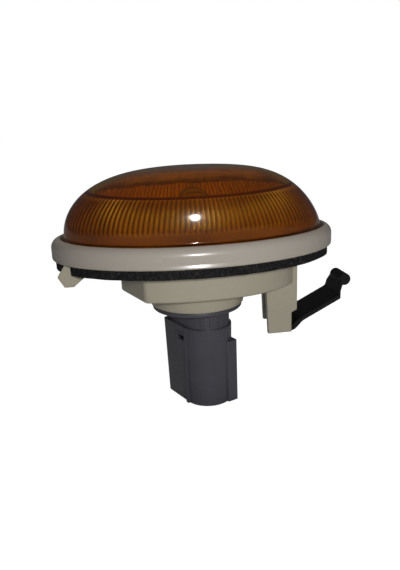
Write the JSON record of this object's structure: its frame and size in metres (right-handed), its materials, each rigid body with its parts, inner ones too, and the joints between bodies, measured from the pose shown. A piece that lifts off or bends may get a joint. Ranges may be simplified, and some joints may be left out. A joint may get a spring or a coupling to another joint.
{
  "type": "side repeater lamp",
  "caption": "Oval amber side repeater lamp with a fluted domed lens, cream housing, foam gasket, spring clip and a bayonet bulb holder with a plug socket.",
  "frame": {"origin": "middle of the panel opening, in the plane of the gasket's underside", "axes": "+Z outwards from the panel through the lens, +X along the lamp towards the spring clip"},
  "size_m": [0.0916, 0.0534, 0.0725],
  "materials": {
    "amber_lens": "clear amber, polished outside, fluted inside",
    "cream_plastic": "moulded, glossy",
    "foam": "closed-cell foam, matt",
    "black_plastic": "moulded, fine grain",
    "grey_plastic": "moulded, satin",
    "seal_rubber": "smooth",
    "terminal_brass": "stamped strip",
    "bulb_glass": "clear",
    "bulb_wire": "drawn wire"
  },
  "bodies": {
    "lamp": {"lens": "amber_lens", "housing": "cream_plastic", "gasket": "foam", "spring_clip": "black_plastic"},
    "holder": {"bulb_holder": "grey_plastic", "holder_seal": "seal_rubber", "terminal_feed": "terminal_brass", "terminal_earth": "terminal_brass", "bulb_glass": "bulb_glass", "bulb_wire_feed": "bulb_wire", "bulb_wire_earth": "bulb_wire", "bulb_filament": "bulb_wire"}
  },
  "joints": [
    {"name": "holder_twist", "type": "hinge", "parent": "lamp", "child": "holder", "pos_m": [0.0001, 0, -0.0136], "axis": [0, 0, -1], "range_deg": [0, 40]}
  ]
}
